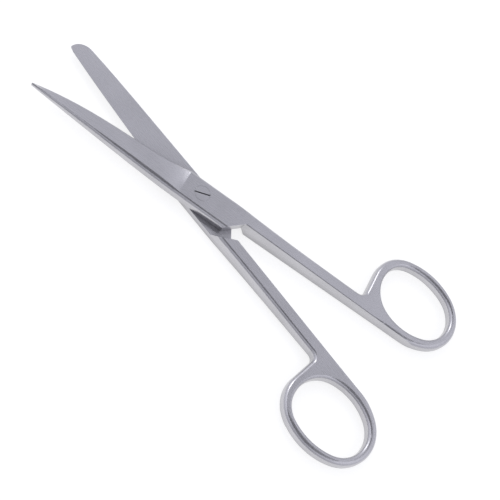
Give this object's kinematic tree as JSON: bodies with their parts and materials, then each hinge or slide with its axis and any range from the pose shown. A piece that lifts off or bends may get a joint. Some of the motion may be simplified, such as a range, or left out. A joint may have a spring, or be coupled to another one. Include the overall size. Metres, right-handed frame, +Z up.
{
  "type": "surgical scissors",
  "caption": "Straight stainless operating scissors, one pointed and one round-ended blade, half-lapped joint on a flush slotted screw, two finger rings.",
  "frame": {"origin": "where the screw's axis meets the underside of the joint area, on the surface that the scissors lie on", "axes": "+X from the screw towards the finger rings, midway between the two halves; +Z up along the screw's axis, out of its head; +Y towards the sharp half's ring"},
  "size_m": [0.1417, 0.0752, 0.0054],
  "materials": {
    "satin_steel": "satin, ground and brushed",
    "screw_steel": "satin, ground flush"
  },
  "bodies": {
    "blunt_half": {"blunt_half": "satin_steel", "pivot_screw": "screw_steel"},
    "sharp_half": {"sharp_half": "satin_steel"}
  },
  "joints": [
    {"name": "pivot", "type": "hinge", "parent": "blunt_half", "child": "sharp_half", "pos_m": [0, 0, 0.00272], "axis": [0, 0, 1], "range_deg": [-18.67, 105]}
  ]
}
